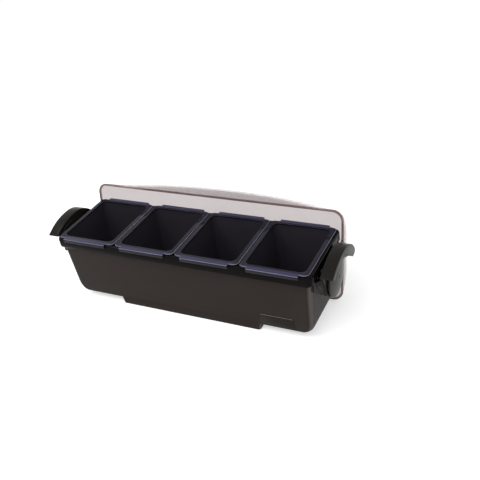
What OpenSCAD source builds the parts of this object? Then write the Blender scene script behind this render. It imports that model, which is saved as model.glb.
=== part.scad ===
// Countertop condiment caddy: a black tub on a short foot holds four lift-out trays in a row.
// A domed lid turns on pins in the two end handles and stands behind the tub when it is open.
// X runs along the row, +Y to the back, +Z up. The origin is on the counter, under the tub's centre.

/* [Trays] */
// Length of one tray's rim along the row
tray_w = 106.4; // [90:0.2:125]
// Rim of a tray from front to back
tray_d = 127; // [110:1:150]
// Height of a tray, from the top of its rim to the underside of its floor
tray_h = 89; // [60:1:92]
// Gap between neighbouring rims
tray_gap = 1.6; // [0.8:0.2:4]
// Width of the rim's flat shelf
rim_w = 7; // [5:0.5:9]
// Thickness of the rim and tabs
rim_t = 2.2; // [1.6:0.1:3]
// Thickness of a tray's walls
tray_wall = 2; // [1.2:0.1:2.6]
// How far a tray's ends narrow just below its rim
shoulder_x = 2.4; // [1:0.2:4]
// How far a tray's front and back narrow just below its rim
shoulder_y = 4.5; // [3:0.5:7]
// Slope of a tray's walls below the shoulder, in degrees
tray_draft = 4.5; // [2:0.5:6]
// Width of the tab at the front and the back of a rim
tab_w = 78.7; // [50:0.1:84]
// How far a tab hangs down over the tub's flange
tab_drop = 6; // [4:0.5:9]

/* [Tub] */
// Height of the tub without its foot
tub_h = 110.8; // [100:0.2:130]
// Thickness of the tub's walls and floor
wall = 3; // [2:0.2:4]
// Slope of the tub's end walls, in degrees
end_draft = 2.7; // [1:0.1:3]
// Slope of the tub's front and back walls, in degrees
front_draft = 2.8; // [1.5:0.1:3.5]
// Radius of the tub's upright corners
corner_r = 7.5; // [6:0.5:14]
// Radius where the end walls turn into the floor
end_foot_r = 17; // [10:1:25]
// Radius where the front and back walls turn into the floor
front_foot_r = 4; // [2:0.5:6]
// Height of the flange round the tub's top
flange_h = 15.6; // [12:0.2:20]
// How far the flange stands out beyond the trays' rims at the front and the back
flange_out = 2.7; // [2:0.1:5]
// How far the flange stands out beyond the trays' rims at the ends
flange_end = 4.2; // [3.5:0.1:6]
// Gap between a tray and the tub's front and back walls
tray_clear = 2; // [0.6:0.1:3]

/* [Foot] */
// Height of the foot under the tub
foot_h = 9.8; // [8:0.2:16]
// Length of the foot where it stands on the counter
foot_len = 250; // [180:5:320]
// Distance from the tub's centre to the back of the foot
foot_back = 34; // [20:1:36]

/* [Hinge] */
// Height of the hinge line below the tub's flange
pivot_drop = 39.9; // [36:0.1:44]
// Distance of the hinge line behind the tub's centre
pivot_y = 2; // [0:0.5:3]
// Radius of a hinge pin
pin_r = 6; // [4:0.5:8]
// Radial play of the lid on its pins
pin_play = 0.08; // [0.02:0.01:0.1]
// Radius of the round cover on the end of a pin
cap_r = 31.5; // [26:0.5:33]
// Height of the cover's domed face
cap_dome = 3.6; // [2:0.2:5]

/* [Handles] */
// Radius of the back half of the grip about the hinge line
grip_r = 49.2; // [47:0.2:53]
// How far the grip's front end is ahead of the hinge line
grip_front = 55.5; // [48:0.5:58]
// Height of the grip's front end above the hinge line
grip_front_h = 34; // [32:0.5:38]
// How far the grip stands out from the handle's outer plate
grip_reach = 18; // [12:0.2:24]
// Thickness of the grip over the hinge line
grip_t = 13.5; // [11:0.5:14]
// Radius of the round boss behind the hinge cover
boss_r = 30; // [28:0.5:32]
// Radius of the boss where it meets the tub
boss_root_r = 26.7; // [26:0.1:28]
// How far the handle's foot reaches forward on the tub's end
root_front = 57; // [50:0.5:58]
// Thickness of the outer plate
plate_t = 3; // [2.4:0.2:5]
// Thickness of the plate that is screwed to the tub
back_plate_t = 2.6; // [2.2:0.1:2.8]
// Thickness of the wall that joins the two plates
skirt_t = 3.2; // [2.4:0.2:4]
// Radius of a handle screw
screw_r = 2; // [1.5:0.1:2.2]

/* [Lid] */
// Height of the lid's rim above the hinge line when it is closed
lid_rise = 54.5; // [52:0.5:58]
// Distance from the hinge line to the lid's front edge
lid_front = 79.5; // [77:0.5:84]
// Distance from the hinge line to the lid's back edge
lid_back = 70.7; // [70:0.1:72]
// Height of the dome above the lid's rim
lid_crown = 60.5; // [45:0.5:70]
// Wall thickness of the lid
lid_t = 2.8; // [2:0.1:3.2]
// Radius of the lid's corners
lid_corner_r = 17; // [14:1:30]
// Angle through which the lid opens
open_angle = 100.3; // [90:0.1:100.4]
// Gap between the lid's ends and the flange
lid_clear = 1.3; // [0.9:0.1:2.5]
// Gap between the lid's ends and the handles' outer plates
ear_gap = 1.7; // [1.2:0.1:4]
// Half width of a hinge ear where it joins the lid
ear_w = 34; // [24:1:40]
// Radius of the hub at the end of an ear
hub_r = 14; // [11:0.5:16]

/* [Hidden] */

$fn = 64;
corner_steps = 7;        // steps in each corner of a lofted outline
boss_steps = 14;         // steps in the arc of a handle's boss
tray_count = 4;

black = [0.07, 0.065, 0.065];
satin_black = [0.19, 0.175, 0.17];
smoke = [0.30, 0.29, 0.42, 0.55];
clear_smoke = [0.80, 0.76, 0.76, 0.35];
steel = [0.72, 0.73, 0.75];

pitch = tray_w + tray_gap;
row_half = (tray_count * tray_w + (tray_count - 1) * tray_gap) / 2;
outer_tray_x = (tray_count - 1) * pitch / 2;

// Tray sizes, as half widths
seat_gap = 0.2;          // between a rim and the flange that it rests on
tab_gap = 0.6;           // between a tab's lip and the flange's face
tab_t = 1.6;             // thickness of that lip
mouth_x = tray_w / 2 - rim_w;
mouth_y = tray_d / 2 - rim_w;
shoulder_drop = 19;      // from the top of the rim down to the shoulder
body_x = mouth_x + tray_wall - shoulder_x;
body_y = mouth_y + tray_wall - shoulder_y;
tray_corner_r = 11;

// Tub sizes, as half lengths
flange_top = foot_h + tub_h;
flange_bottom = flange_top - flange_h;
flange_x = row_half + flange_end;
flange_y = tray_d / 2 + flange_out;
flange_r = 9.5;
lip_t = 2.4;
web_t = 3;               // thickness of the flange's flat top
rim_seat = 2.4;          // how far the rims reach over the flange
seat_x = row_half - rim_seat;
seat_y = tray_d / 2 - rim_seat;
wall_x = seat_x + wall;
wall_y = body_y + tray_clear + wall;
rim_top = flange_top + seat_gap + rim_t;

// Hinge line, and the stack of parts along it
pivot_z = flange_top - pivot_drop;
pad_x = wall_x + 0.2;
slot_in = pad_x + back_plate_t;
lid_x = flange_x + lid_clear + lid_t;
slot_out = lid_x + ear_gap;
plate_out = slot_out + plate_t;
grip_x = plate_out + grip_reach;
collar_t = 1.2;          // the cover stands off the plate on a small collar
cap_t = 2.5;
slot_play = 0.5;         // end play of the lid's hubs in their slots
pin_in = pad_x + 0.1;
pin_out = plate_out + collar_t + cap_t;
post_r = 4.2;            // screw posts

// Where a handle's screws go, from the hinge line: [y, z, height of the post]
slot_w = slot_out - slot_in;
screw_seats = [[-38, 14, slot_w + 0.5], [34, 11, 0.6], [-9, -19, slot_w + 0.5]];

// The handle's outlines are made of straight sides, each at a distance from the hinge line
under_a = 233;           // direction that the slanted underside faces
root_a = 180;            // and the front side, where the handle meets the tub
side_a = 196.5;          // and the front side of the outer plate
side_d = boss_r + 5.9;
skirt_top = flange_bottom - pivot_z - 0.8;
grip_low = grip_front_h - 4.4;  // height of the front end's lower edge
grip_back_a = 24.5;      // direction of the grip's back end
grip_hollow_y = -17;     // where the grip's underside is highest
grip_hollow_h = grip_r - grip_t + 3.7;

// Lid: middle of the rim from the hinge line, and half its depth
lid_mid = (lid_back - lid_front) / 2;
lid_half = (lid_back + lid_front) / 2;
bead_out = 0.6;          // the rim's bead stands out this far
bead_h = 2.2;
lid_band = 3;            // upright band above the rim
end_power = 0.22;        // how steeply the dome rises at its ends
front_power = 11;
front_round = 0.8;
back_power = 5;
lid_cols = 28;
lid_rows = 14;

// ---------------------------------------------------------------- shapes

// Outline of a rounded rectangle at height z, anticlockwise from above
function ring(hx, hy, r, z, cy = 0) =
    [for (q = [0:3], k = [0:corner_steps])
        let (a = 90 * (q + k / corner_steps),
             sx = (q == 0 || q == 3) ? 1 : -1,
             sy = q < 2 ? 1 : -1)
        [sx * (hx - r) + r * cos(a), cy + sy * (hy - r) + r * sin(a), z]];

// Closed solid through outlines that all have the same count of points
module loft(rings) {
    n = len(rings[0]);
    m = len(rings);
    polyhedron(
        points = [for (g = rings) each g],
        faces = concat(
            [[for (i = [0:n - 1]) i]],
            [for (j = [0:m - 2], i = [0:n - 1])
                let (a = j * n + i, b = j * n + (i + 1) % n)
                each [[a, a + n, b + n], [a, b + n, b]]],
            [[for (i = [n - 1:-1:0]) (m - 1) * n + i]]),
        convexity = 8);
}

// Stands a drawing of [y, z] upright and thickens it from x0 to x1
module along_x(x0, x1) {
    translate([x0, 0, 0]) rotate([90, 0, 90]) linear_extrude(x1 - x0) children();
}

// Cylinder along X about the hinge line's own origin
module rod(r, x0, x1, y = 0, z = 0) {
    translate([x0, y, z]) rotate([0, 90, 0]) cylinder(r = r, h = x1 - x0);
}

module at_pivot() {
    translate([0, pivot_y, pivot_z]) children();
}

// ---------------------------------------------------------------- trays

// Rings of a tray's body, from its floor up to the rim, drawn in by inset
function tray_rings(inset, floor_z, top_z) =
    let (shoulder_z = rim_top - shoulder_drop,
         fall = (shoulder_z - floor_z) * tan(tray_draft),
         r = tray_corner_r - inset)
    [ring(body_x - fall - inset - 3, body_y - fall - inset - 3, r, floor_z),
     ring(body_x - fall - inset - 0.9, body_y - fall - inset - 0.9, r, floor_z + 1),
     ring(body_x - fall - inset, body_y - fall - inset, r, floor_z + 4),
     ring(body_x - inset, body_y - inset, r, shoulder_z),
     ring(body_x + shoulder_x * 0.75 - inset, body_y + shoulder_y * 0.75 - inset, r, rim_top - 9),
     ring(body_x + shoulder_x - inset, body_y + shoulder_y - inset, r, rim_top - rim_t),
     ring(body_x + shoulder_x - inset, body_y + shoulder_y - inset, r, top_z)];

// A tab lies on the flange and hooks over its face
module tab() {
    lip_y = flange_y + tab_gap;
    edge_r = 1.2;
    rotate([90, 0, 90]) linear_extrude(tab_w, center = true) difference() {
        union() {
            translate([tray_d / 2 - 4, rim_top - rim_t]) square([lip_y + tab_t - edge_r - tray_d / 2 + 4, rim_t]);
            translate([lip_y, rim_top - tab_drop]) square([tab_t, tab_drop - edge_r]);
            translate([lip_y + tab_t - edge_r, rim_top - edge_r]) circle(r = edge_r, $fn = 24);
        }
    }
}

module tray(i) {
    color(smoke) translate([(i - (tray_count + 1) / 2) * pitch, 0, 0]) difference() {
        union() {
            loft(tray_rings(0, rim_top - tray_h, rim_top - rim_t / 2));
            loft([ring(tray_w / 2, tray_d / 2, 8, rim_top - rim_t),
                  ring(tray_w / 2, tray_d / 2, 8, rim_top - 0.7),
                  ring(tray_w / 2 - 0.7, tray_d / 2 - 0.7, 7.3, rim_top)]);
            tab();
            mirror([0, 1, 0]) tab();
        }
        loft(tray_rings(tray_wall, rim_top - tray_h + tray_wall, rim_top + 1));
    }
}

// ---------------------------------------------------------------- tub

// Half sizes of the tub's walls at height z, measured to their outer faces
function tub_x(z) = wall_x - (flange_bottom - z) * tan(end_draft);
function tub_y(z) = wall_y - (flange_bottom - z) * tan(front_draft);

// Inset of a rounded lower edge of radius r at height h above the floor
function edge_inset(r, h) = h < r ? r - sqrt(r * r - pow(r - h, 2)) : 0;

// Rings of the tub's body above floor_z, drawn in by inset
function tub_rings(inset, floor_z, top_z) =
    let (r = end_foot_r - inset, r2 = max(front_foot_r - inset, 1))
    [for (k = [0, 0.03, 0.1, 0.22, 0.4, 0.65, 1])
        let (h = r * k, z = floor_z + h)
        ring(tub_x(z) - inset - edge_inset(r, h), tub_y(z) - inset - edge_inset(r2, h), corner_r - inset, z),
     ring(tub_x(top_z) - inset, tub_y(top_z) - inset, corner_r - inset, top_z)];

// Rings of the foot, flush with the tub's front wall
function foot_rings(inset, z0, z1) =
    [for (z = [z0, z1])
        let (hy = (tub_y(foot_h + front_foot_r) + foot_back) / 2)
        ring(foot_len / 2 + z * 0.2 - inset, hy - inset, 4, z, foot_back - hy)];

module flange() {
    difference() {
        loft([ring(flange_x - 0.6, flange_y - 0.6, flange_r, flange_bottom),
              ring(flange_x, flange_y, flange_r, flange_bottom + 1),
              ring(flange_x, flange_y, flange_r, flange_top - 3),
              ring(flange_x - 0.8, flange_y - 0.8, flange_r - 0.5, flange_top - 0.9),
              ring(flange_x - 2.6, flange_y - 2.6, flange_r - 1, flange_top)]);
        difference() {
            loft([ring(flange_x - lip_t, flange_y - lip_t, flange_r - lip_t, flange_bottom - 1),
                  ring(flange_x - lip_t, flange_y - lip_t, flange_r - lip_t, flange_top - web_t)]);
            loft([ring(wall_x, wall_y, corner_r, flange_bottom - 1),
                  ring(wall_x, wall_y, corner_r, flange_bottom + 4),
                  ring(seat_x + wall, seat_y + wall, corner_r, flange_bottom + 11),
                  ring(seat_x + wall, seat_y + wall, corner_r, flange_top)]);
        }
    }
}

// The flat pad on an end wall that a handle is screwed to
module handle_pad() {
    at_pivot() along_x(tub_x(flange_bottom) - wall + 0.2, pad_x) root_outline();
}

module tub() {
    color(satin_black) difference() {
        union() {
            loft(tub_rings(0, foot_h, flange_bottom));
            flange();
            loft(foot_rings(0, 0, foot_h + front_foot_r));
            for (s = [0, 1]) mirror([s, 0, 0]) handle_pad();
        }
        loft(concat(tub_rings(wall, foot_h + wall, flange_bottom),
                    [ring(wall_x - wall, wall_y - wall, corner_r - wall, flange_bottom + 1),
                     ring(seat_x, seat_y, corner_r - wall, flange_bottom + 8),
                     ring(seat_x, seat_y, corner_r - wall, flange_top + 1)]));
        loft(foot_rings(wall, wall, foot_h + wall + 1));
        for (s = [0, 1]) mirror([s, 0, 0]) at_pivot() for (p = screw_seats) screw_hole(p);
    }
}

// ---------------------------------------------------------------- handles

// Outer face of the tub's wall at a screw, less the wall: the head's seat
function head_x(p) = tub_x(pivot_z + p[1]) - wall + 0.3;

module screw_hole(p) {
    rod(screw_r + 0.15, head_x(p) - 3, pad_x + 1, p[0], p[1]);
    translate([head_x(p) - 0.4, p[0], p[1]]) rotate([0, 90, 0])
        cylinder(r1 = 2 * screw_r + 0.5, r2 = screw_r + 0.1, h = screw_r + 0.4);
}

// Where two lines meet. Each is given by the direction a that it faces and its distance d
function meet(a1, d1, a2, d2) =
    [d1 * sin(a2) - d2 * sin(a1), d2 * cos(a1) - d1 * cos(a2)] / sin(a2 - a1);

function arc(r, a0, a1, n) = [for (k = [0:n]) let (a = a0 + (a1 - a0) * k / n) [r * cos(a), r * sin(a)]];

// Front side and underside of a handle, from height top down to the lowest part of its boss
function front_path(a, d, r, top, to_a) =
    concat([meet(90, top, a, d), meet(a, d, under_a, r)], arc(r, under_a, to_a, boss_steps));

// The grip's outer line from its front end to its back end
function grip_over() =
    concat([for (k = [0:10])
                let (y = grip_front * (k / 10 - 1))
                [y, grip_r - (grip_r - grip_front_h) * pow(-y / grip_front, 2.3)]],
           [for (k = [1:14])
                let (a = 90 + (grip_back_a - 90) * k / 14)
                [grip_r * cos(a), grip_r * sin(a)]]);

// The grip's underside from its back end to its front end
function grip_under() =
    let (y0 = 0.67 * grip_r, z0 = 0.31 * grip_r)
    concat([[0.86 * grip_r, z0 + 1.2], [0.79 * grip_r, z0]],
           [for (k = [0:12])
                let (y = y0 + (grip_hollow_y - y0) * k / 12)
                [y, grip_hollow_h - (grip_hollow_h - z0) * pow((y - grip_hollow_y) / (y0 - grip_hollow_y), 1.7)]],
           [for (k = [1:8])
                let (y = grip_hollow_y + (8.8 - grip_front - grip_hollow_y) * k / 8)
                [y, grip_hollow_h - (grip_hollow_h - grip_low)
                    * pow((y - grip_hollow_y) / (8.8 - grip_front - grip_hollow_y), 2)]]);

// The plate that is screwed to the tub
module root_outline() {
    polygon(concat(front_path(root_a, root_front, boss_root_r, skirt_top, 360 + 180 - under_a),
                   [[33.8, -8], [42, skirt_top]]));
}

// The outer plate lies behind the hinge cover and reaches up into the grip
module plate_outline() {
    low = front_path(side_a, side_d, boss_r, grip_low - 4, 360 + 180 - under_a);
    inner = [for (p = grip_under()) p * (1 + 2 / norm(p))];
    polygon(concat([for (k = [0:len(inner) - 2]) inner[k]], [[10.3 - grip_front, grip_low + 2]],
                   low, [[-low[1][0], low[1][1]]]));
}

// A curved wall between the two plates, round the front and the underside of the boss
module skirt() {
    inset = 0.3;         // the wall starts this far inside the plates' outlines
    top = skirt_top - inset;
    a = front_path(root_a, root_front - inset, boss_root_r - inset, top, 285);
    b = front_path(root_a, root_front - skirt_t, boss_root_r - skirt_t, top, 285);
    c = front_path(side_a, side_d - inset, boss_r - inset, top, 285);
    d = front_path(side_a, side_d - skirt_t, boss_r - skirt_t, top, 285);
    n = len(a);
    x0 = pad_x + 0.6;
    x1 = slot_out + 0.8;
    polyhedron(
        points = concat([for (p = a) [x0, p[0], p[1]]], [for (p = b) [x0, p[0], p[1]]],
                        [for (p = c) [x1, p[0], p[1]]], [for (p = d) [x1, p[0], p[1]]]),
        faces = concat(
            [for (i = [0:n - 2]) each [
                [i, 2 * n + i + 1, i + 1], [i, 2 * n + i, 2 * n + i + 1],
                [n + i, 3 * n + i + 1, 3 * n + i], [n + i, n + i + 1, 3 * n + i + 1],
                [i, i + 1, n + i + 1, n + i],
                [2 * n + i, 3 * n + i, 3 * n + i + 1, 2 * n + i + 1]]],
            [[0, n, 3 * n, 2 * n], [n - 1, 3 * n - 1, 4 * n - 1, 2 * n - 1]]),
        convexity = 6);
}

module handle() {
    color(black) at_pivot() difference() {
        union() {
            along_x(pad_x, slot_in) root_outline();
            skirt();
            along_x(slot_out, plate_out) plate_outline();
            along_x(plate_out - 0.5, grip_x) polygon(concat(grip_over(), grip_under()));
            for (p = screw_seats) rod(post_r, slot_in - 0.5, slot_in + p[2], p[0], p[1]);
        }
        rod(pin_r + 0.05, pad_x - 1, plate_out + 1);
        for (p = screw_seats) rod(screw_r + 0.02, pad_x - 1, slot_in + p[2] - 0.7, p[0], p[1]);
    }
}

module handle_screws() {
    color(steel) at_pivot() for (p = screw_seats) {
        rod(screw_r, head_x(p) + 0.5, slot_in + p[2] - 0.9, p[0], p[1]);
        translate([head_x(p), p[0], p[1]]) rotate([0, 90, 0])
            cylinder(r1 = 2 * screw_r, r2 = screw_r, h = screw_r);
    }
}

module hinge_pin() {
    color(steel) at_pivot() rotate([0, 90, 0]) rotate_extrude()
        polygon([[0, pin_in], [pin_r - 1, pin_in], [pin_r, pin_in + 1],
                 [pin_r, pin_out - 0.8], [pin_r - 0.8, pin_out], [0, pin_out]]);
}

module hinge_cap() {
    face_r = (cap_r * cap_r + cap_dome * cap_dome) / (2 * cap_dome);
    disc_x = plate_out + collar_t;
    color(black) at_pivot() difference() {
        rotate([0, 90, 0]) rotate_extrude($fn = 96) {
            translate([0, plate_out]) square([cap_r - 4, collar_t + 0.5]);
            intersection() {
                translate([0, disc_x + cap_t + cap_dome - face_r]) circle(r = face_r, $fn = 256);
                translate([0, disc_x]) square([cap_r, cap_t + cap_dome + 1]);
            }
        }
        rod(pin_r + 0.02, plate_out - 1, pin_out + 0.02);
    }
}

// ---------------------------------------------------------------- lid

// The lid is drawn closed, about the hinge line. u and v run from -1 to 1 over its length and depth.
function dome_rise(u, v) =
    pow(max(1 - u * u, 0), end_power)
    * (v < 0 ? pow(max(1 - pow(-v, front_power), 0), front_round) : max(1 - pow(v, back_power), 0));

// Half depth of the lid at x, with its round corners
function depth_at(x, hx, hy, r) =
    let (over = max(abs(x) - (hx - r), 0))
    hy - r + sqrt(max(r * r - over * over, 0));

// Points of the dome over an outline of half sizes hx and hy; low is its height above the rim
function dome_points(hx, hy, r, crown, low) =
    [for (i = [0:lid_cols], j = [0:lid_rows])
        let (u = -cos(180 * i / lid_cols),
             v = -cos(180 * j / lid_rows),
             x = u * hx)
        [x, lid_mid + v * depth_at(x, hx, hy, r), lid_rise + low + crown * dome_rise(u, v)]];

// Faces between two loops of points, the first one above or outside the second
function band(a, b) =
    [for (k = [0:len(a) - 1]) let (l = (k + 1) % len(a)) [a[k], a[l], b[l], b[k]]];

// The dome is one thin shell: an outer skin, a bead round the rim, and an inner skin
module dome_shell() {
    out = bead_out;
    inn = bead_out + lid_t;
    outer = dome_points(lid_x - out, lid_half - out, lid_corner_r - out, lid_crown - lid_band, lid_band);
    inner = dome_points(lid_x - inn, lid_half - inn, lid_corner_r - inn, lid_crown - lid_band - lid_t, lid_band);
    bead = dome_points(lid_x, lid_half, lid_corner_r, 0, bead_h);
    nr = lid_rows + 1;
    m = len(outer);
    edge = concat([for (i = [0:lid_cols]) i * nr],
                  [for (j = [1:lid_rows]) lid_cols * nr + j],
                  [for (i = [lid_cols - 1:-1:0]) i * nr + lid_rows],
                  [for (j = [lid_rows - 1:-1:1]) j]);
    n = len(edge);
    loops = [for (k = [0:3]) [for (i = [0:n - 1]) 2 * m + k * n + i]];
    inner_edge = [for (e = edge) m + e];
    polyhedron(
        points = concat(outer, inner,
            [for (e = edge) [outer[e][0], outer[e][1], lid_rise + bead_h]],
            [for (e = edge) bead[e]],
            [for (e = edge) [bead[e][0], bead[e][1], lid_rise]],
            [for (e = edge) [inner[e][0], inner[e][1], lid_rise]]),
        faces = concat(
            [for (i = [0:lid_cols - 1], j = [0:lid_rows - 1])
                let (a = i * nr + j, b = a + nr)
                each [[a, a + 1, b + 1], [a, b + 1, b],
                      [m + a, m + b + 1, m + a + 1], [m + a, m + b, m + b + 1]]],
            band(edge, loops[0]), band(loops[0], loops[1]), band(loops[1], loops[2]),
            band(loops[2], loops[3]), band(loops[3], inner_edge)),
        convexity = 8);
}

module ear() {
    difference() {
        union() {
            along_x(lid_x - bead_out - lid_t, lid_x - bead_out) {
                polygon([[-hub_r, 0], [hub_r, 0], [ear_w, lid_rise + lid_band - 0.5], [-ear_w, lid_rise + lid_band - 0.5]]);
                circle(r = hub_r);
            }
            rod(hub_r, slot_in + slot_play, slot_out - slot_play);
        }
        rod(pin_r + pin_play, slot_in - 1, slot_out + 1);
    }
}

module closed_lid() {
    dome_shell();
    for (s = [0, 1]) mirror([s, 0, 0]) ear();
}

module lid() {
    color(clear_smoke) at_pivot() rotate([-open_angle, 0, 0]) closed_lid();
}

tub();
tray(1);  // tray_1
tray(2);  // tray_2
tray(3);  // tray_3
tray(4);  // tray_4
lid();
mirror([1, 0, 0]) handle();  // handle_left
handle();  // handle_right
mirror([1, 0, 0]) hinge_pin();  // hinge_pin_left
hinge_pin();  // hinge_pin_right
mirror([1, 0, 0]) hinge_cap();  // hinge_cap_left
hinge_cap();  // hinge_cap_right
mirror([1, 0, 0]) handle_screws();  // handle_screws_left
handle_screws();  // handle_screws_right
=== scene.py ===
import bpy
import bmesh
import math
from mathutils import Matrix, Vector


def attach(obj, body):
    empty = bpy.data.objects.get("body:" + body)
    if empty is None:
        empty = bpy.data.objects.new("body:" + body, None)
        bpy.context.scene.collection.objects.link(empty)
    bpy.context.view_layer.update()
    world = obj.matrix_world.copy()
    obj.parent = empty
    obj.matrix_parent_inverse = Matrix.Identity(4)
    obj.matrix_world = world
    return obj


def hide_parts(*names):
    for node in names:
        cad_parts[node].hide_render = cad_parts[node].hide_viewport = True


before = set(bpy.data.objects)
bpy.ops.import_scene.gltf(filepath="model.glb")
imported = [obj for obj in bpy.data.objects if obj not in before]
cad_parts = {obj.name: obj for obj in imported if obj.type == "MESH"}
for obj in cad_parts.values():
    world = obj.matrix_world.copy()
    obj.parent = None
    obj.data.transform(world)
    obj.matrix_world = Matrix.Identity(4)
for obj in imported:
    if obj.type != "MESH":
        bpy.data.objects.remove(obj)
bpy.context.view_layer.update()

# Lengths are in millimetres where they are multiplied by MM, and in metres elsewhere.
MM = 0.001
SIDES = (("left", -1), ("right", 1))


# ---------------------------------------------------------------- node helpers

def new_material(name):
    """A material with one Principled shader, and its tree."""
    mat = bpy.data.materials.new(name)
    mat.use_nodes = True
    tree = mat.node_tree
    return mat, tree, tree.nodes["Principled BSDF"]


def feed(tree, entry, value):
    """Links the entry to a socket, or sets it to a number, a vector or a colour."""
    if isinstance(value, bpy.types.NodeSocket):
        tree.links.new(value, entry)
    elif entry.type == "RGBA":
        entry.default_value = (*value, 1.0)
    else:
        entry.default_value = value


def add(tree, kind, inputs=None, **settings):
    """A new node with its settings, and with what goes into each of its inputs."""
    node = tree.nodes.new(kind)
    for key, value in settings.items():
        setattr(node, key, value)
    for key, value in (inputs or {}).items():
        feed(tree, node.inputs[key], value)
    return node


def paint(tree, shader, **inputs):
    """Feeds the shader's inputs. An underscore in a name stands for a space."""
    for key, value in inputs.items():
        feed(tree, shader.inputs[key.replace("_", " ")], value)


def place(tree):
    """Where a point of the surface is."""
    return add(tree, "ShaderNodeTexCoord").outputs["Object"]


def facing(tree):
    """Which way the surface faces."""
    return add(tree, "ShaderNodeTexCoord").outputs["Normal"]


def axes(tree, vector):
    """A vector's outputs X, Y and Z."""
    return add(tree, "ShaderNodeSeparateXYZ", {0: vector}).outputs


def combine(tree, operation, first, *others):
    """One Math node on a single value, or a chain of them that takes in one more value at a time."""
    if not others:
        return add(tree, "ShaderNodeMath", {0: first}, operation=operation).outputs[0]
    for other in others:
        first = add(tree, "ShaderNodeMath", {0: first, 1: other}, operation=operation).outputs[0]
    return first


def noise(tree, where, scale, detail=4.0, roughness=0.55):
    """A noise with about this many grains to the metre."""
    settings = {"Vector": where, "Scale": scale, "Detail": detail, "Roughness": roughness}
    return add(tree, "ShaderNodeTexNoise", settings).outputs["Fac"]


def spread(tree, value, low, high, from_low=0.3, from_high=0.7):
    """Maps a value onto the range low to high. Most of a noise lies between 0.3 and 0.7."""
    ends = {"Value": value, "From Min": from_low, "From Max": from_high, "To Min": low, "To Max": high}
    return add(tree, "ShaderNodeMapRange", ends, clamp=True).outputs["Result"]


def mask(tree, value, start, end):
    """0 where the value is below start, and 1 where it is above end."""
    return spread(tree, value, 0.0, 1.0, start, end)


def blend_colours(tree, factor, first, second):
    """first and second are colours or sockets. A Mix node has its colours at inputs 6 and 7."""
    colours = {"Factor": factor, 6: first, 7: second}
    return add(tree, "ShaderNodeMix", colours, data_type="RGBA").outputs[2]


def clouds(tree, where, scale, first, second, **options):
    """A colour that drifts between two."""
    return blend_colours(tree, spread(tree, noise(tree, where, scale, **options), 0.0, 1.0), first, second)


def bump(tree, shader, height, strength, distance):
    """Roughens the shader's surface, by distance in metres where the height is 1."""
    raised = {"Height": height, "Strength": strength, "Distance": distance}
    paint(tree, shader, Normal=add(tree, "ShaderNodeBump", raised).outputs["Normal"])


# ---------------------------------------------------------------- materials

# Heights between which the trays' walls give way to their rims, and distances from the caddy's
# middle line between which the rims give way to their tabs
TRAY_RIM_FROM, TRAY_RIM_TO = 120.0, 121.0
TRAY_TAB_FROM, TRAY_TAB_TO = 59.8, 60.8


def upright_corners(tree):
    """1 on upright corners, where the surface faces sideways and forwards or backwards at once."""
    normal = axes(tree, facing(tree))
    both = combine(tree, "MULTIPLY", normal["X"], normal["Y"])
    return mask(tree, combine(tree, "ABSOLUTE", both), 0.12, 0.5)


def moulded_plastic(name, colour, worn, rough, grain, grain_depth, ior, corner_highlight=None):
    """Opaque plastic with a spark-eroded grain, faint flow marks and scuffed patches.
    If given, the last argument is a paler colour painted on its upright corners as a highlight."""
    mat, tree, shader = new_material(name)
    where = place(tree)
    cloud = noise(tree, where, scale=9.0, detail=3.0)
    scuff = noise(tree, where, scale=70.0, detail=8.0, roughness=0.7)
    tint = blend_colours(tree, spread(tree, cloud, 0.0, 1.0), colour, worn)
    # Painted highlight: the upright corners are lightened where light would catch them.
    if corner_highlight:
        tint = blend_colours(tree, upright_corners(tree), tint, corner_highlight)
    roughness = combine(tree, "ADD", spread(tree, cloud, *rough), spread(tree, scuff, -0.03, 0.04))
    paint(tree, shader, Base_Color=tint, Roughness=roughness, IOR=ior)
    bump(tree, shader, noise(tree, where, grain, detail=2.0), strength=grain_depth, distance=0.00025)
    return mat


def wiped_gloss(tree, shader, where, rough):
    """Faint flow lines, and marks in the gloss where it has been wiped."""
    wiped = noise(tree, where, scale=45.0, detail=6.0, roughness=0.7)
    paint(tree, shader, Roughness=spread(tree, wiped, *rough))
    bump(tree, shader, noise(tree, where, scale=22.0, detail=2.0), strength=0.03, distance=0.0006)


def clear_plastic(name, colour, rough, ior, streak, transmission, coat):
    """See-through plastic, whose colour is streak times as bright in its flow lines.
    A thin wall bends light very little, so it gets a low ior and takes its gloss from a coat."""
    mat, tree, shader = new_material(name)
    where = place(tree)
    streaked = tuple(part * streak for part in colour)
    paint(tree, shader, Base_Color=clouds(tree, where, 14.0, colour, streaked, detail=3.0),
          IOR=ior, Transmission_Weight=transmission, Coat_Weight=coat, Coat_Roughness=0.03)
    wiped_gloss(tree, shader, where, rough)
    return mat


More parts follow.
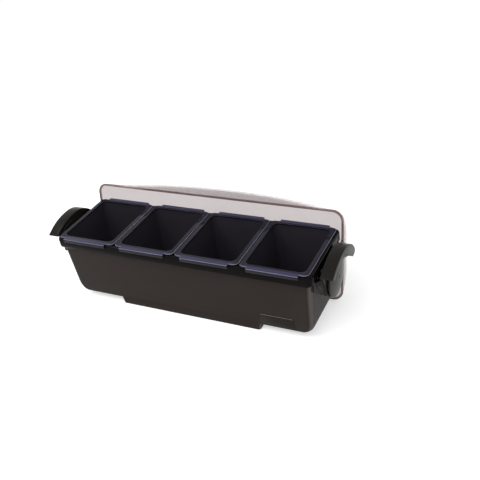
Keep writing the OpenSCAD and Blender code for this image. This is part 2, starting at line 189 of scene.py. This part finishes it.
def tray_plastic():
    """Smoked plastic, darker in the rims. A violet sheen is painted on the rims' upward faces, most
    on their tabs, and a pale highlight is painted along the rims' rounded edges."""
    wall, wall_dark = (0.040, 0.036, 0.046), (0.034, 0.0305, 0.040)
    rim, rim_dark = (0.013, 0.0118, 0.019), (0.0105, 0.0095, 0.0155)
    # The violet is a painted sheen, and the pale colour is a painted highlight.
    violet, pale = (0.062, 0.058, 0.125), (0.24, 0.23, 0.33)
    sheen_off_tabs = 0.10
    mat, tree, shader = new_material("smoke_polycarbonate")
    where = place(tree)
    point = axes(tree, where)
    upward = axes(tree, facing(tree))["Z"]
    on_rim = mask(tree, point["Z"], TRAY_RIM_FROM * MM, TRAY_RIM_TO * MM)
    on_tabs = spread(tree, combine(tree, "ABSOLUTE", point["Y"]), sheen_off_tabs, 1.0,
                     TRAY_TAB_FROM * MM, TRAY_TAB_TO * MM)
    # Painted sheen: violet on the rims' upward faces, strongest on the tabs.
    on_violet_sheen = combine(tree, "MULTIPLY", on_tabs, mask(tree, upward, 0.3, 0.8), on_rim)
    # Painted highlight: pale lines along the rims' rounded edges, where light would catch them.
    on_edge_highlight = combine(tree, "MULTIPLY", mask(tree, upward, 0.10, 0.35),
                      spread(tree, upward, 1.0, 0.0, 0.90, 0.99), on_rim)
    clouded = spread(tree, noise(tree, where, scale=14.0, detail=3.0), 0.0, 1.0)
    walls = blend_colours(tree, clouded, wall, wall_dark)
    rims = blend_colours(tree, clouded, rim, rim_dark)
    tint = blend_colours(tree, on_rim, walls, rims)
    tint = blend_colours(tree, on_violet_sheen, tint, violet)
    tint = blend_colours(tree, on_edge_highlight, tint, pale)
    paint(tree, shader, Base_Color=tint, IOR=1.2, Transmission_Weight=0.3)
    wiped_gloss(tree, shader, where, (0.05, 0.08))
    return mat


def brushed_steel():
    """Steel with fine lines along the hinge line."""
    mat, tree, shader = new_material("brushed_steel")
    stretch = add(tree, "ShaderNodeMapping", {"Vector": place(tree), "Scale": (0.08, 1.0, 1.0)})
    lines = noise(tree, stretch.outputs["Vector"], scale=2200.0, detail=3.0)
    tint = blend_colours(tree, spread(tree, lines, 0.0, 1.0), (0.55, 0.55, 0.57), (0.70, 0.70, 0.71))
    paint(tree, shader, Base_Color=tint, Roughness=spread(tree, lines, 0.22, 0.34), Metallic=1.0)
    bump(tree, shader, lines, strength=0.1, distance=0.0001)
    return mat


def label_print():
    """Dark film, with the grain of a matt foil."""
    mat, tree, shader = new_material("label_film")
    where = place(tree)
    tint = clouds(tree, where, 30.0, (0.019, 0.0145, 0.0128), (0.023, 0.0175, 0.0155))
    roughness = spread(tree, noise(tree, where, scale=90.0), 0.34, 0.42)
    paint(tree, shader, Base_Color=tint, Roughness=roughness, Specular_IOR_Level=0.08)
    bump(tree, shader, noise(tree, where, scale=2400.0, detail=1.0), strength=0.06, distance=0.0001)
    return mat


def pale_line():
    """Pale print, worn unevenly."""
    mat, tree, shader = new_material("label_rule")
    tint = clouds(tree, place(tree), 160.0, (0.30, 0.285, 0.28), (0.20, 0.19, 0.185),
                  detail=6.0, roughness=0.7)
    paint(tree, shader, Base_Color=tint, Roughness=0.4)
    return mat


# The tub's upright corners get a paler colour as a painted highlight.
TUB = moulded_plastic("tub_satin", colour=(0.0300, 0.0226, 0.0200), worn=(0.0340, 0.0258, 0.0228),
                      rough=(0.40, 0.48), grain=1600.0, grain_depth=0.16, ior=1.15,
                      corner_highlight=(0.120, 0.105, 0.100))
FLANGE = moulded_plastic("flange_gloss", colour=(0.0058, 0.0046, 0.0044), worn=(0.0068, 0.0055, 0.0052),
                         rough=(0.10, 0.14), grain=1600.0, grain_depth=0.03, ior=1.12)
BLACK = moulded_plastic("satin_black", colour=(0.0125, 0.0105, 0.0098), worn=(0.0150, 0.0127, 0.0119),
                        rough=(0.22, 0.30), grain=1500.0, grain_depth=0.12, ior=1.16)
CAP = moulded_plastic("cap_black", colour=(0.0440, 0.0392, 0.0378), worn=(0.0490, 0.0440, 0.0425),
                      rough=(0.26, 0.32), grain=1500.0, grain_depth=0.10, ior=1.16)
SMOKE = tray_plastic()
CLEAR = clear_plastic("clear_smoke", colour=(0.520, 0.480, 0.482), rough=(0.0, 0.02), ior=1.02,
                      streak=0.97, transmission=1.0, coat=0.6)
RIM = clear_plastic("rim_smoke", colour=(0.16, 0.09, 0.095), rough=(0.05, 0.10), ior=1.05,
                    streak=0.9, transmission=0.5, coat=0.4)
STEEL = brushed_steel()
FILM = label_print()
RULE = pale_line()


# ---------------------------------------------------------------- mesh helpers

# Distances within which points are welded, in metres: those of a CAD node, and those of the lid
WELD, LID_WELD = 2e-6, 1e-6

# Angles in degrees: faces of a CAD node that meet at less than FLAT become one, its edges sharper
# than EDGE are rounded, and each kind of piece is creased where its faces meet at more than this
FLAT, EDGE = 0.4, 32.0
NODE_CREASE, DOME_CREASE, EAR_CREASE, PLATE_CREASE = 38.0, 40.0, 30.0, 40.0


def link(name, mesh, material):
    """A new object with the mesh in this material."""
    piece = bpy.data.objects.new(name, mesh)
    bpy.context.scene.collection.objects.link(piece)
    if mesh.materials:
        mesh.materials.clear()
    mesh.materials.append(material)
    return piece


def smooth(mesh, angle):
    """Smooth shading, with creases only where faces meet at more than angle."""
    mesh.polygons.foreach_set("use_smooth", [True] * len(mesh.polygons))
    mesh.set_sharp_from_angle(angle=math.radians(angle))


def bands(rings):
    """The corners of each face between a ring of points and the next."""
    for first, second in zip(rings, rings[1:]):
        for k in range(len(first)):
            n = (k + 1) % len(first)
            yield first[k], first[n], second[n], second[k]


def finished(bm, mesh):
    """Turns the faces outwards and writes them to the mesh."""
    bmesh.ops.recalc_face_normals(bm, faces=bm.faces)
    bm.to_mesh(mesh)
    bm.free()
    return mesh


def softened(node, name, material, width, segments):
    """The CAD node's form with its sharp edges rounded by width. It stands for the node."""
    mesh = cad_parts[node].data.copy()
    mesh.name = name
    bm = bmesh.new()
    bm.from_mesh(mesh)
    bmesh.ops.remove_doubles(bm, verts=bm.verts, dist=WELD)
    bmesh.ops.dissolve_limit(bm, angle_limit=math.radians(FLAT), verts=bm.verts, edges=bm.edges)
    bm.to_mesh(mesh)
    bm.free()
    piece = link(name, mesh, material)
    bevel = piece.modifiers.new("edges", "BEVEL")
    bevel.width = width * MM
    bevel.segments = segments
    bevel.limit_method = "ANGLE"
    bevel.angle_limit = math.radians(EDGE)
    bevel.use_clamp_overlap = True
    graph = bpy.context.evaluated_depsgraph_get()
    rounded = bpy.data.meshes.new_from_object(piece.evaluated_get(graph))
    piece.modifiers.clear()
    piece.data = rounded
    smooth(rounded, NODE_CREASE)
    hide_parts(node)
    return piece


# ---------------------------------------------------------------- lid

# The lid's sizes, in millimetres. They are those of the part's source, apart from the crown, which
# is 3.5 mm lower, and the front wall's powers. The lid is drawn closed, about the hinge line, and
# then turned to where it hangs open.
LID_X = 223.5                       # half its length
LID_FRONT, LID_BACK = 79.5, 70.7    # from the hinge line to its front and back
LID_RISE = 54.5                     # from the hinge line up to its rim
LID_CROWN = 57.0                    # from its rim up to the top of the dome
LID_T = 2.8
LID_CORNER = 17.0                   # radius of its corners, seen from above
LID_BAND = 3.0                      # height of the upright band over its rim
LID_MID = (LID_BACK - LID_FRONT) / 2
LID_HALF = (LID_BACK + LID_FRONT) / 2
BEAD_OUT, BEAD_H = 0.6, 2.2         # how far the bead round the rim stands out, and its height
BEAD_SHOULDER = 0.5                 # from the bead's top up to the next points on the skin
BEAD_CHAMFER = 0.3                  # fall of the bead's top towards the outside
RIM_SOFT = 0.7                      # height of the slopes at the rim's two lower edges
RIM_UNDER = 0.25                    # width of the inner slope, as a share of the rim's thickness
OPEN_ANGLE = 100.3
PIVOT = Vector((0.0, 2.0, 80.7)) * MM

# How steeply the dome rises at its ends and its back, and the front wall's fullness, each at the
# lid's ends and at its middle
END_POWER, BACK_POWER = 0.22, 5
FRONT_POWER, FRONT_ROUND = (4.0, 24.0), (0.8, 0.6)
DOME_COLS, DOME_ROWS = 120, 64

# The hinge ears: half the width of the web at its top, and how far that lies below the top of the
# dome's band, then the hub's radius, its bore's radius, its rounding, and its faces along the hinge line
EAR_W, EAR_LAP, EAR_STEPS = 34.0, 0.5, 40
HUB_R, BORE_R, HUB_SOFT = 14.0, 6.08, 0.5
HUB_IN, HUB_OUT, HUB_STEPS = 219.1, 224.7, 64


def dome_rise(u, v):
    """The dome's height as a share of its crown, at u along it and v across it, both from -1 to 1."""
    ends = max(1 - u * u, 0) ** END_POWER
    if v < 0:
        middle = max(1 - u * u, 0) ** 2
        power, round_off = (low + (high - low) * middle for low, high in (FRONT_POWER, FRONT_ROUND))
        return ends * max(1 - (-v) ** power, 0) ** round_off
    return ends * max(1 - v ** BACK_POWER, 0)


def dome_grid(inset, low, crown):
    """Points of a skin of the closed lid, in columns from its left end to its right, each from the
    front to the back. The skin lies inset from the rim's outline. It starts low over the rim, and
    rises by crown from there."""
    hx, hy, r = LID_X - inset, LID_HALF - inset, LID_CORNER - inset
    grid = []
    for i in range(DOME_COLS + 1):
        u = -math.cos(math.pi * i / DOME_COLS)
        x = u * hx
        past_corner = max(abs(x) - (hx - r), 0)
        depth = hy - r + math.sqrt(max(r * r - past_corner * past_corner, 0))
        column = []
        for j in range(DOME_ROWS + 1):
            v = -math.cos(math.pi * j / DOME_ROWS)
            column.append((x, LID_MID + v * depth, LID_RISE + low + crown * dome_rise(u, v)))
        grid.append(column)
    return grid


def rim_section(outer, bead, inner):
    """The rim's section at one place, from the outer skin round the bead to the inner skin."""
    outer, bead, inner = outer[:2], bead[:2], inner[:2]
    under = [n + (o - n) * RIM_UNDER for n, o in zip(inner, outer)]
    top = LID_RISE + BEAD_H
    return [(*outer, top + BEAD_SHOULDER), (*outer, top), (*bead, top - BEAD_CHAMFER),
            (*bead, LID_RISE + RIM_SOFT), (*outer, LID_RISE), (*under, LID_RISE),
            (*inner, LID_RISE + RIM_SOFT)]


def opened(points):
    """Turns closed points to where the lid hangs open, in metres."""
    turn = Matrix.Rotation(math.radians(-OPEN_ANGLE), 4, "X")
    return [turn @ (Vector(p) * MM) + PIVOT for p in points]


def lid_dome():
    """The dome's two skins, joined by the rim. The rim has its own material."""
    cols, rows = DOME_COLS, DOME_ROWS
    outer = dome_grid(BEAD_OUT, LID_BAND, LID_CROWN - LID_BAND)
    inner = dome_grid(BEAD_OUT + LID_T, LID_BAND, LID_CROWN - LID_BAND - LID_T)
    bead = dome_grid(0.0, BEAD_H, 0.0)
    border = ([(i, 0) for i in range(cols + 1)] + [(cols, j) for j in range(1, rows + 1)]
              + [(i, rows) for i in range(cols - 1, -1, -1)] + [(0, j) for j in range(rows - 1, 0, -1)])
    points = [p for column in outer + inner for p in column]

    def at(i, j, skin=0):
        return (skin * (cols + 1) + i) * (rows + 1) + j

    rings = [[at(i, j) for i, j in border]]
    for ring in zip(*(rim_section(outer[i][j], bead[i][j], inner[i][j]) for i, j in border)):
        rings.append(range(len(points), len(points) + len(ring)))
        points += ring
    rings.append([at(i, j, 1) for i, j in border])
    faces = []
    for i in range(cols):
        for j in range(rows):
            faces.append((at(i, j), at(i + 1, j), at(i + 1, j + 1), at(i, j + 1)))
            faces.append((at(i, j, 1), at(i, j + 1, 1), at(i + 1, j + 1, 1), at(i + 1, j, 1)))
    skins = len(faces)
    faces += bands(rings)
    mesh = bpy.data.meshes.new("lid_dome")
    mesh.from_pydata(opened(points), [], faces)
    bm = bmesh.new()
    bm.from_mesh(mesh)
    bm.faces.ensure_lookup_table()
    for face in bm.faces[skins:]:
        face.material_index = 1
    bmesh.ops.remove_doubles(bm, verts=bm.verts, dist=LID_WELD)
    piece = link("lid_dome", finished(bm, mesh), CLEAR)
    mesh.materials.append(RIM)
    smooth(mesh, DOME_CREASE)
    return piece


def lid_ear(side, sign):
    """A hinge ear: a flat web that widens up to the dome's end, and a hub that turns on the pin."""
    top = LID_RISE + LID_BAND - EAR_LAP
    lean = math.atan2(EAR_W - HUB_R, top)
    web = [(-EAR_W, top), (EAR_W, top)]
    for k in range(EAR_STEPS + 1):
        a = -lean - (math.pi - 2 * lean) * k / EAR_STEPS
        web.append((HUB_R * math.cos(a), HUB_R * math.sin(a)))
    bm = bmesh.new()

    def ring(points, x):
        return [bm.verts.new(p) for p in opened([(sign * x, y, z) for y, z in points])]

    def circle(radius):
        turns = [2 * math.pi * k / HUB_STEPS for k in range(HUB_STEPS)]
        return [(radius * math.cos(a), radius * math.sin(a)) for a in turns]

    plates = [ring(web, LID_X - BEAD_OUT - LID_T), ring(web, LID_X - BEAD_OUT)]
    for corners in [*bands(plates), *plates]:
        bm.faces.new(corners)
    section = [(HUB_R - HUB_SOFT, HUB_IN), (HUB_R, HUB_IN + HUB_SOFT),
               (HUB_R, HUB_OUT - HUB_SOFT), (HUB_R - HUB_SOFT, HUB_OUT),
               (BORE_R + HUB_SOFT, HUB_OUT), (BORE_R, HUB_OUT - HUB_SOFT),
               (BORE_R, HUB_IN + HUB_SOFT), (BORE_R + HUB_SOFT, HUB_IN)]
    rings = [ring(circle(radius), x) for radius, x in section]
    for corners in bands(rings + [rings[0]]):
        bm.faces.new(corners)
    name = "lid_ear_" + side
    mesh = finished(bm, bpy.data.meshes.new(name))
    piece = link(name, mesh, CLEAR)
    smooth(mesh, EAR_CREASE)
    return piece


# ---------------------------------------------------------------- label plate

# The tub's front wall, as in the part's source: its distance from the middle where it meets the
# flange, the height there, and its lean in degrees
WALL_Y, WALL_TOP, WALL_LEAN = 59.0, 105.0, 2.8

# The label's bare plate and the rule near its top, in millimetres: from and to along the wall,
# from and to in height, thickness, and the radius of the corners
LABEL_X, LABEL_Z, LABEL_T, LABEL_CORNER = (127.6, 182.8), (13.5, 35.0), 0.35, 1.2
RULE_X, RULE_Z, RULE_T, RULE_CORNER = (129.0, 181.4), (33.2, 33.7), 0.12, 0.2
PLATE_SOFT = 0.15                   # rounding of a plate's front edges
PLATE_SUNK = 0.3                    # how far a plate reaches into what it lies on
CORNER_STEPS = 8


def plate(name, material, across, upward, thick, proud, corner):
    """A thin plate that lies proud of the tub's front wall, which leans back towards its foot."""
    (x0, x1), (z0, z1) = across, upward
    outline = []
    for cx, cz, start in ((x1 - corner, z1 - corner, 0), (x0 + corner, z1 - corner, 90),
                          (x0 + corner, z0 + corner, 180), (x1 - corner, z0 + corner, 270)):
        for k in range(CORNER_STEPS + 1):
            a = math.radians(start + 90 * k / CORNER_STEPS)
            outline.append((cx + corner * math.cos(a), cz + corner * math.sin(a)))
    bm = bmesh.new()
    rings = []
    soft = min(PLATE_SOFT, thick / 2)
    for out, inset in ((-PLATE_SUNK, 0.0), (thick - soft, 0.0), (thick, soft)):
        ring = []
        for x, z in outline:
            x -= math.copysign(inset, x - (x0 + x1) / 2)
            z -= math.copysign(inset, z - (z0 + z1) / 2)
            wall = WALL_Y - (WALL_TOP - z) * math.tan(math.radians(WALL_LEAN))
            ring.append(bm.verts.new((x * MM, -(wall + proud + out) * MM, z * MM)))
        rings.append(ring)
    for corners in [*bands(rings), rings[-1], rings[0][::-1]]:
        bm.faces.new(corners)
    mesh = finished(bm, bpy.data.meshes.new(name))
    piece = link(name, mesh, material)
    smooth(mesh, PLATE_CREASE)
    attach(piece, "tub")
    return piece


# ---------------------------------------------------------------- pieces

# How far the edges of each moulding are rounded, in millimetres
TUB_EDGE, TRAY_EDGE, HANDLE_EDGE, CAP_EDGE = 0.8, 0.6, 1.6, 0.6
FLANGE_FROM = WALL_TOP - 0.1        # just below the flange
TRAYS = 4


def dress(node, name, material, body, width, segments=3):
    """Puts a softened copy of the node in its place, on its body."""
    piece = softened(node, name, material, width, segments)
    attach(piece, body)
    return piece


def gloss_flange(tub):
    """Gives the tub's flange its own, glossier material."""
    tub.data.materials.append(FLANGE)
    for face in tub.data.polygons:
        if face.center.z > FLANGE_FROM * MM:
            face.material_index = 1


gloss_flange(dress("tub", "tub_body", TUB, "tub", TUB_EDGE))
for number in range(1, TRAYS + 1):
    body = f"tray_{number}"
    dress(body, f"tray_body_{number}", SMOKE, body, TRAY_EDGE, segments=4)
for side, sign in SIDES:
    dress("handle_" + side, "handle_body_" + side, BLACK, "tub", HANDLE_EDGE, segments=4)
    dress("hinge_cap_" + side, "cap_disc_" + side, CAP, "tub", CAP_EDGE)

dome = lid_dome()
ears = [lid_ear(side, sign) for side, sign in SIDES]
for piece in [dome] + ears:
    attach(piece, "lid")
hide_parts("lid")

plate("label_plate", FILM, LABEL_X, LABEL_Z, LABEL_T, 0.0, LABEL_CORNER)
plate("label_line_top", RULE, RULE_X, RULE_Z, RULE_T, LABEL_T, RULE_CORNER)

for side, sign in SIDES:
    for kind in ("hinge_pin_", "handle_screws_"):
        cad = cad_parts[kind + side]
        cad.data.materials.clear()
        cad.data.materials.append(STEEL)


# ---------------------------------------------------------------- floor, light and camera

FLOOR_SIZE = 12.0
FLOOR_DROP = 0.0004                 # keeps the floor just clear of the foot
FLOOR_GREY = 0.86
FLOOR_GLOW = 0.52                   # brings the lit floor up to white where it is seen
SKY_LIGHT, SKY_SHOWN = 0.55, 1.0    # the world's strength as light, and where it is seen

# Each lamp's name, position, aim, width and height, and watts
LAMPS = (
    ("key", (-0.25, -1.1, 1.7), (0.0, 0.0, 0.05), (1.6, 1.1), 15.0),
    ("strip_left", (-0.8, -0.4, 1.4), (0.0, 0.0, 0.05), (1.3, 0.10), 4.0),
    ("strip_right", (0.9, -0.9, 1.0), (0.2, 0.0, 0.1), (0.3, 0.12), 0.4),
    ("strip_back", (0.9, 1.2, 1.1), (0.0, 0.0, 0.05), (0.8, 0.12), 1.5),
)

# The photograph's viewpoint, fitted to the corners of the tray rims, the flange and the foot. The
# turns are in radians, and the lens and the sensor in millimetres.
CAMERA_PLACE = (0.50944, -0.74246, 0.66211)
CAMERA_TURN = (1.002419, 0.131294, 0.438321)
CAMERA_LENS, CAMERA_SENSOR = 50.48, 36.0
CAMERA_NEAR = 0.01


def shown_ray(tree):
    """1 for rays from the camera, off a glossy surface or through a clear one, and 0 for lighting."""
    path = add(tree, "ShaderNodeLightPath").outputs
    return combine(tree, "MAXIMUM", path["Is Camera Ray"], path["Is Glossy Ray"],
                   path["Is Transmission Ray"])


def make_floor():
    """A pale floor that keeps the object's shadow."""
    bpy.ops.mesh.primitive_plane_add(size=FLOOR_SIZE, location=(0, 0, -FLOOR_DROP))
    floor = bpy.context.object
    floor.name = "floor"
    mat = bpy.data.materials.new("pale_floor")
    mat.use_nodes = True
    tree = mat.node_tree
    tree.nodes.clear()
    glow = combine(tree, "MULTIPLY", shown_ray(tree), FLOOR_GLOW)
    matt = add(tree, "ShaderNodeBsdfDiffuse", {"Color": (FLOOR_GREY, FLOOR_GREY, FLOOR_GREY)})
    light = add(tree, "ShaderNodeEmission", {"Color": (1.0, 1.0, 1.0), "Strength": glow})
    both = add(tree, "ShaderNodeAddShader", {0: matt.outputs[0], 1: light.outputs[0]})
    add(tree, "ShaderNodeOutputMaterial", {"Surface": both.outputs[0]})
    floor.data.materials.append(mat)


def make_world():
    """Even white light, which shows as plain white."""
    world = bpy.data.worlds.new("studio")
    bpy.context.scene.world = world
    world.use_nodes = True
    tree = world.node_tree
    tree.nodes.clear()
    strength = spread(tree, shown_ray(tree), SKY_LIGHT, SKY_SHOWN, 0.0, 1.0)
    sky = add(tree, "ShaderNodeBackground", {"Color": (1.0, 1.0, 1.0), "Strength": strength})
    add(tree, "ShaderNodeOutputWorld", {"Surface": sky.outputs[0]})


def make_lamp(name, position, aim, size, watts):
    """A soft rectangular lamp that points at its aim."""
    light = bpy.data.lights.new(name, "AREA")
    light.shape = "RECTANGLE"
    light.size, light.size_y = size
    light.energy = watts
    lamp = bpy.data.objects.new(name, light)
    bpy.context.scene.collection.objects.link(lamp)
    lamp.location = position
    lamp.rotation_euler = (Vector(aim) - Vector(position)).to_track_quat("-Z", "Y").to_euler()


def make_camera():
    """The photograph's view."""
    camera = bpy.data.objects.new("camera", bpy.data.cameras.new("camera"))
    bpy.context.scene.collection.objects.link(camera)
    camera.location = CAMERA_PLACE
    camera.rotation_euler = CAMERA_TURN
    camera.data.sensor_fit = "HORIZONTAL"
    camera.data.sensor_width = CAMERA_SENSOR
    camera.data.lens = CAMERA_LENS
    camera.data.clip_start = CAMERA_NEAR
    bpy.context.scene.camera = camera


make_floor()
make_world()
for lamp in LAMPS:
    make_lamp(*lamp)
make_camera()
bpy.context.scene.view_settings.view_transform = "Standard"
